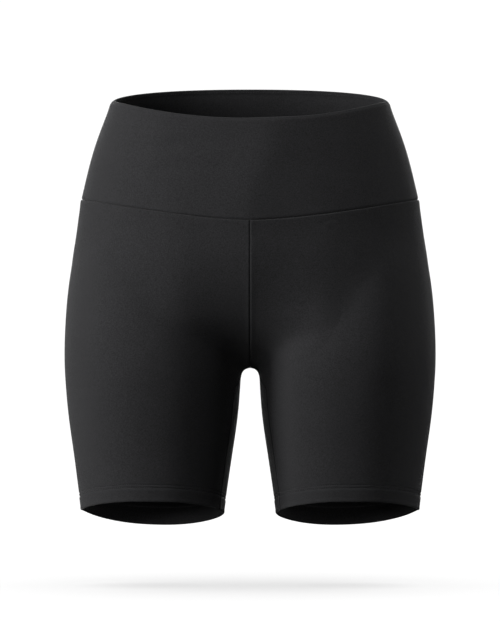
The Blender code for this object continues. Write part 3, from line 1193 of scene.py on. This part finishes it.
    def build(self, knit: bpy.types.Material, thread: bpy.types.Material) -> list[bpy.types.Object]:
        """Return the leg's cloth, its hem stitches and the bindings of its seams.

        Args:
            knit: The cloth's finish.
            thread: The stitches' finish.

        Returns:
            The pieces, the cloth first.
        """
        base, joined = self._grid()
        normals = self.form.slope(base)
        from_front, from_waist = arc_lengths(base, 1), arc_lengths(base, 0)
        to_edge = np.minimum(from_front, from_front[:, -1:] - from_front)
        to_hem = from_waist[-1:] - from_waist
        closed = (np.arange(len(base)) >= joined)[:, None]
        lift = self._lift(base, closed, to_edge, from_waist, to_hem)
        walls = self._walls(np.minimum(to_edge, from_waist), to_hem)
        outer = base + normals * lift[..., None]
        inner = base + normals * (self.inside_share * np.maximum(lift, 0.0) - walls)[..., None]
        for skin in (outer, inner):
            skin[..., 0] = np.maximum(skin[..., 0], self.form.middle_gap / 2.0)
        mirror = np.array((self.side.value, 1.0, 1.0))
        outer, inner, normals = outer * mirror, inner * mirror, normals * mirror

        name = self.side.name.lower()
        turned = slice(None) if self.side is Side.LEFT else slice(None, None, -1)
        cloth = Cloth(f"leg_cloth_{name}", outer[:, turned], inner[:, turned], joined, folded_bottom=True)
        pieces = [cloth.build(knit)]
        half_way = to_hem[:, base.shape[1] // 2]
        rows = [int(np.argmin(np.abs(half_way - level))) for level in self.stitch_levels]
        lines = [(outer[row], normals[row]) for row in rows]
        pieces.append(StitchRow(f"hem_stitches_{name}").build(lines, thread))
        inseam = closed[:, 0] & (to_hem[:, 0] > self.hem_allowance)
        binding = SeamBinding(f"inseam_binding_{name}")
        pieces.append(binding.build(inner[inseam, 0], -normals[inseam, 0], knit, thread))
        if self.side is Side.LEFT:
            binding = SeamBinding("centre_seam_binding", core_size=self.core_size)
            edges = [self._past_crotch(skin[: joined + 1]) for skin in (inner, -normals)]
            pieces.append(binding.build(*edges, knit, thread))
        area = float(np.mean(from_front[:, -1]) * np.mean(from_waist[-1]))
        LOG.info("leg_cloth_%s: cut about %.3f square metres", name, area)
        return pieces

    @staticmethod
    def _past_crotch(rows: Points) -> Points:
        """Return the rows' front ends and back ends as one line in the middle, past the crotch."""
        return np.concatenate((rows[:, 0], rows[::-1, -1][1:])) * (0.0, 1.0, 1.0)


@dataclass
class Waistband:
    """One panel of the doubled waistband, folded at the waist edge."""

    form: BodyForm
    cut: Cut
    face: Face
    wall: float = 0.0024
    panel_width: float = 0.340
    panel_height: float = 0.097
    column_steps: tuple[float, float] = (0.0005, 0.0026)
    row_steps: tuple[float, float] = (0.00045, 0.0024)
    fold: float = 0.45
    side_seam: Seam = Seam(0.00070, 0.00080, 0.00020, 0.0024, 0.0016)
    waist_seam: Seam = Seam(0.00095, 0.00085, 0.00012, 0.0030, 0.0016)
    facing_line: float = 0.0040
    facing_groove: float = 0.00055
    facing_groove_width: float = 0.0006
    facing_roll_line: float = 0.0018
    facing_roll: float = 0.00030
    facing_roll_width: float = 0.0012
    inside_share: float = 0.6
    stitch_line: float = 0.0022
    binding_drop: float = 0.0017
    side_depth: float = 0.0006
    side_width: float = 0.0030
    side_height: float = 0.0014
    side_thread: float = 0.0002
    side_core: float = 0.0009
    side_core_reach: float = 0.0019
    edge_roll: float = 0.0009
    edge_roll_width: float = 0.0026

    def _skins(self) -> tuple[Points, Points, Points, np.ndarray]:
        """Return the two sides of the panel's cloth.

        Returns:
            The outer skin, the inner skin, the way out of the form at each point and how far each lies
            from the waist edge.
        """
        across = np.array(graded(0.0, self.panel_width, *self.column_steps)) / self.panel_width
        angle = math.pi * across - (math.pi if self.face is Face.FRONT else 0.0)
        axis = (0.0, self.face.value * self.cut.seam_gap / 2.0)
        down = np.array(graded(0.0, self.panel_height, *self.row_steps)) / self.panel_height
        angle = np.broadcast_to(angle, (len(down), len(across)))

        def level(points: Points) -> np.ndarray:
            """Return the height of each row between the waist edge and its seam."""
            top = self.cut.rim(points) - self.fold * self.wall
            return top + down[:, None] * (self.cut.waist_seam(points) - top)

        base = self.form.settle(axis, angle, level)
        normals = self.form.slope(base)
        from_side = arc_lengths(base, 1)
        to_edge = np.minimum(from_side, from_side[:, -1:] - from_side)
        from_rim = arc_lengths(base, 0)
        to_seam = from_rim[-1:] - from_rim
        lift = self.side_seam.lift(to_edge) + self.waist_seam.lift(to_seam)
        lift = lift + sum(ripple.at(base) for ripple in RIPPLES)
        lift = lift - self.edge_roll * (1.0 - smooth_step(from_rim, 0.0, self.edge_roll_width))
        outer = base + normals * lift[..., None]
        walls = self.wall - self.facing_groove * bump(from_rim, self.facing_line, self.facing_groove_width)
        walls = walls + self.facing_roll * bump(from_rim, self.facing_roll_line, self.facing_roll_width)
        shown_inside = self.inside_share * (lift - self.waist_seam.lift(to_seam))
        inner = base - normals * (walls - shown_inside)[..., None]
        return outer, inner, normals, from_rim

    def build(self, knit: bpy.types.Material, thread: bpy.types.Material) -> list[bpy.types.Object]:
        """Return the panel's cloth, the stitches inside its waist edge and the bindings of its seams.

        Args:
            knit: The cloth's finish.
            thread: The stitches' finish.

        Returns:
            The pieces, the cloth first.
        """
        outer, inner, normals, from_rim = self._skins()
        name = self.face.name.lower()
        cloth = Cloth(f"waistband_cloth_{name}", outer, inner, len(outer), folded_top=True)
        half_way = from_rim[:, from_rim.shape[1] // 2]
        row = int(np.argmin(np.abs(half_way - self.stitch_line)))
        stitches = StitchRow(f"waist_stitches_{name}", pitch=0.0024, length=0.0016, thickness=0.00034)
        pieces = [cloth.build(knit), stitches.build([(inner[row], -normals[row])], thread)]
        drop = (inner[-1] - inner[-4]) / np.linalg.norm(inner[-1] - inner[-4], axis=-1, keepdims=True)
        binding = SeamBinding(f"waist_seam_binding_{name}")
        pieces.append(binding.build(inner[-1] + drop * self.binding_drop, -normals[-1], knit, thread))
        middle = (outer[2:-1, 0] + inner[2:-1, 0]) / 2.0 - normals[2:-1, 0] * self.side_depth
        binding = SeamBinding(
            f"side_seam_binding_{name}",
            self.side_width,
            self.side_height,
            thread_size=self.side_thread,
            core_size=self.side_core,
            core_reach=self.side_core_reach,
        )
        pieces.append(binding.build(middle * (1.0, 0.0, 1.0), -normals[2:-1, 0], knit, thread))
        return pieces


@dataclass(frozen=True)
class SoftLight:
    """A rectangular soft light, aimed at the shorts from its bearing and elevation in degrees."""

    name: str
    bearing: float
    elevation: float
    size: tuple[float, float]
    power: float
    distance: float = 2.4

    def build(self, middle: Vector) -> bpy.types.Object:
        """Return the light. Bearing 0 is in front, 90 at the wearer's right.

        Args:
            middle: The point that it is placed round and aimed at.

        Returns:
            The new light.
        """
        data = bpy.data.lights.new(self.name, "AREA")
        data.shape = "RECTANGLE"
        data.size, data.size_y = self.size
        data.energy = self.power
        bearing, elevation = math.radians(self.bearing), math.radians(self.elevation)
        level = math.cos(elevation)
        back = Vector((-math.sin(bearing) * level, -math.cos(bearing) * level, math.sin(elevation)))
        light = bpy.data.objects.new(self.name, data)
        light.location = middle + back * self.distance
        light.rotation_mode = "QUATERNION"
        light.rotation_quaternion = (-back).to_track_quat("-Z", "Y")
        light.visible_camera = False
        bpy.context.scene.collection.objects.link(light)
        return light


@dataclass
class Studio:
    """A plain pale floor under a white surround, soft lights and the camera."""

    floor_level: float = -0.4645
    floor_reach: float = 9.0
    floor_glow: float = 0.548
    floor_paper: float = 0.80
    overhead_strength: float = 2.10
    overhead_spread: float = 165.0
    middle_height: float = -0.2
    surround_strength: float = 1.05
    camera_distance: float = 5.0
    camera_height: float = -0.2007
    frame_height: float = 0.5954
    sensor: float = 36.0
    clip: tuple[float, float] = (0.1, 50.0)
    lights: tuple[SoftLight, ...] = (
        SoftLight("left_behind", 115.0, 5.0, (0.7, 1.0), 4.0),
        SoftLight("left_side", 68.0, 5.0, (0.7, 1.0), 44.0),
        SoftLight("left_key", 55.0, 5.0, (0.7, 1.0), 8.3),
        SoftLight("left_front", 36.0, 12.0, (0.7, 1.0), 10.5),
        SoftLight("left_high", 60.0, 35.0, (0.7, 1.0), 17.0),
        SoftLight("front", 0.0, 10.0, (0.7, 0.4), 1.8),
        SoftLight("right_fill", -35.0, -4.0, (0.7, 0.4), 4.2),
        SoftLight("right_side", -80.0, -4.0, (0.7, 0.4), 7.1),
        SoftLight("right_rim", -95.0, 0.0, (0.7, 0.8), 7.1),
        SoftLight("right_behind", -115.0, 20.0, (0.7, 1.0), 3.0),
        SoftLight("above", 0.0, 87.0, (2.0, 2.0), 19.5, 2.1),
        SoftLight("behind_left", 160.0, 15.0, (0.9, 1.2), 13.0),
        SoftLight("behind", 180.0, 12.0, (1.2, 1.2), 22.0),
        SoftLight("behind_right", -160.0, 15.0, (0.9, 1.2), 14.0),
    )

    def _floor(self) -> bpy.types.Object:
        """Return the floor, a plain sheet of paper that lights nothing else.

        Returns:
            The new object.
        """
        paper, shader = new_finish("studio_paper")
        shader.inputs["Base Color"].default_value = (*[self.floor_paper] * 3, 1.0)
        shader.inputs["Roughness"].default_value = 1.0
        shader.inputs["Specular IOR Level"].default_value = 0.0
        shader.inputs["Emission Color"].default_value = (1.0, 1.0, 1.0, 1.0)
        shader.inputs["Emission Strength"].default_value = self.floor_glow
        low, high, level = -self.floor_reach, self.floor_reach, self.floor_level
        sheet = [(low, low, level), (high, low, level), (high, high, level), (low, high, level)]
        floor = new_piece("floor", sheet, [(0, 1, 2, 3)], [paper])
        floor.visible_diffuse = False
        floor.visible_glossy = False
        return floor

    def _light(self, floor: bpy.types.Object) -> None:
        """Add the soft lights for the shorts and the overhead light for the floor.

        Args:
            floor: The floor, which only the overhead light falls on.
        """
        only_floor = bpy.data.collections.new("lit_from_above")
        only_floor.objects.link(floor)
        no_floor = bpy.data.collections.new("lit_from_the_sides")
        no_floor.objects.link(floor)
        no_floor.collection_objects[0].light_linking.link_state = "EXCLUDE"
        middle = Vector((0.0, 0.0, self.middle_height))
        for soft_light in self.lights:
            soft_light.build(middle).light_linking.receiver_collection = no_floor
        data = bpy.data.lights.new("overhead", "SUN")
        data.energy = self.overhead_strength
        data.angle = math.radians(self.overhead_spread)
        overhead = bpy.data.objects.new("overhead", data)
        overhead.light_linking.receiver_collection = only_floor
        bpy.context.scene.collection.objects.link(overhead)

    def _surround(self) -> None:
        """Set a white surround that the camera sees and that lights nothing."""
        world = bpy.data.worlds.new("studio_surround")
        world.use_nodes = True
        backing = world.node_tree.nodes["Background"]
        backing.inputs["Color"].default_value = (1.0, 1.0, 1.0, 1.0)
        backing.inputs["Strength"].default_value = self.surround_strength
        world.cycles_visibility.diffuse = False
        world.cycles_visibility.glossy = False
        bpy.context.scene.world = world
        bpy.context.scene.view_settings.view_transform = "Standard"

    def _camera(self) -> None:
        """Add a level camera far in front."""
        data = bpy.data.cameras.new("camera")
        data.sensor_width = self.sensor
        data.lens = self.sensor * self.camera_distance / self.frame_height
        data.clip_start, data.clip_end = self.clip
        camera = bpy.data.objects.new("camera", data)
        camera.location = (0.0, -self.camera_distance, self.camera_height)
        camera.rotation_euler = (math.pi / 2.0, 0.0, 0.0)
        bpy.context.scene.collection.objects.link(camera)
        bpy.context.scene.camera = camera

    def build(self) -> bpy.types.Object:
        """Add the floor, the lights, the surround and the camera.

        Returns:
            The floor.
        """
        floor = self._floor()
        self._light(floor)
        self._surround()
        self._camera()
        return floor


@dataclass
class Shorts:
    """The whole pair: two legs and two waistband panels."""

    form: BodyForm = field(default_factory=BodyForm)
    leg_cut: tuple[float, float] = (0.585, 0.345)
    leg_area: float = 0.160
    band_cut: tuple[float, float] = (0.430, 0.115)
    band_area: float = 0.0405

    def build(self) -> None:
        """Build every piece, hang it on the body and hide the solid that it stands for."""
        cut = Cut(self.form)
        leg_knit, band_knit = LEG_KNIT.material(), BAND_KNIT.material()
        thread = HEM_THREAD.material()
        for side in Side:
            pieces = Leg(self.form, cut, side).build(leg_knit, thread)
            self._dress(pieces, f"leg_{side.name.lower()}", "leg_knit", self.leg_cut, self.leg_area)
        for face in Face:
            pieces = Waistband(self.form, cut, face).build(band_knit, thread)
            node = f"waistband_{face.name.lower()}"
            self._dress(pieces, node, "waistband_knit", self.band_cut, self.band_area)

    @staticmethod
    def _dress(
        pieces: list[bpy.types.Object], node: str, slot: str, flat: tuple[float, float], area: float
    ) -> None:
        """Args:
            pieces: The cloth first, then what is on it.
            node: The solid that the cloth stands for.
            slot: Not used.
            flat: Not used.
            area: Not used.
        """
        for piece in pieces:
            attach(piece, BODY)
            LOG.info("%s: %d faces", piece.name, len(piece.data.polygons))
        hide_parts(node)


def main() -> None:
    """Load the frame, build the shorts and the studio, and note the sizes."""
    logging.basicConfig(level=logging.INFO, format="%(name)s: %(message)s")
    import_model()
    Shorts().build()
    Studio().build()
    LOG.info("sizes written")


if __name__ == "__main__":
    main()
